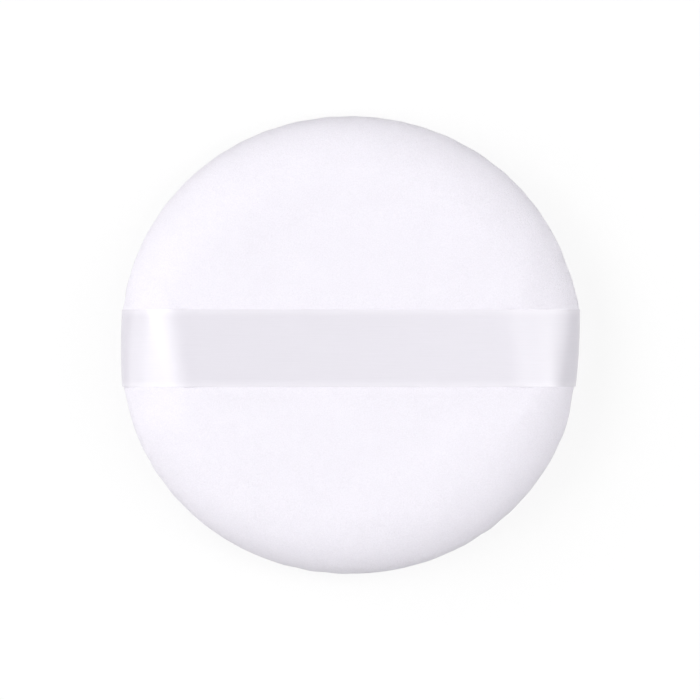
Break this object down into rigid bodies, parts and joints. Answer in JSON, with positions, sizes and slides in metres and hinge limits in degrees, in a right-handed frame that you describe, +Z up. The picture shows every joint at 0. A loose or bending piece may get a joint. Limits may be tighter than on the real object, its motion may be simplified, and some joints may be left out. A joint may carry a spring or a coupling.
{
  "type": "powder puff",
  "caption": "Round flat velour cosmetic puff with a rolled sewn edge, a sponge core and a satin ribbon across the back that holds it on the fingers.",
  "frame": {"origin": "middle of the flat face that the puff rests on, which is the powdering side", "axes": "+Z up through the puff from the face to the ribbon side, +X along the ribbon, +Y across the ribbon"},
  "size_m": [0.0598, 0.06, 0.0126],
  "materials": {
    "velour": "matte",
    "satin_ribbon": "satin",
    "sponge": "matte",
    "sewing_thread": "satin"
  },
  "bodies": {
    "puff": {"back_cover": "velour", "face_cover": "velour", "sponge_core": "sponge", "ribbon_left_tab": "satin_ribbon", "ribbon_right_tab": "satin_ribbon", "needle_thread": "sewing_thread", "bobbin_thread": "sewing_thread", "closing_thread": "sewing_thread"},
    "ribbon": {"ribbon_band": "satin_ribbon"}
  },
  "joints": [
    {"name": "ribbon_lift", "type": "slide", "parent": "puff", "child": "ribbon", "axis": [0, 0, 1], "range_m": [0, 0.006], "stiffness_N_per_m": 15}
  ]
}
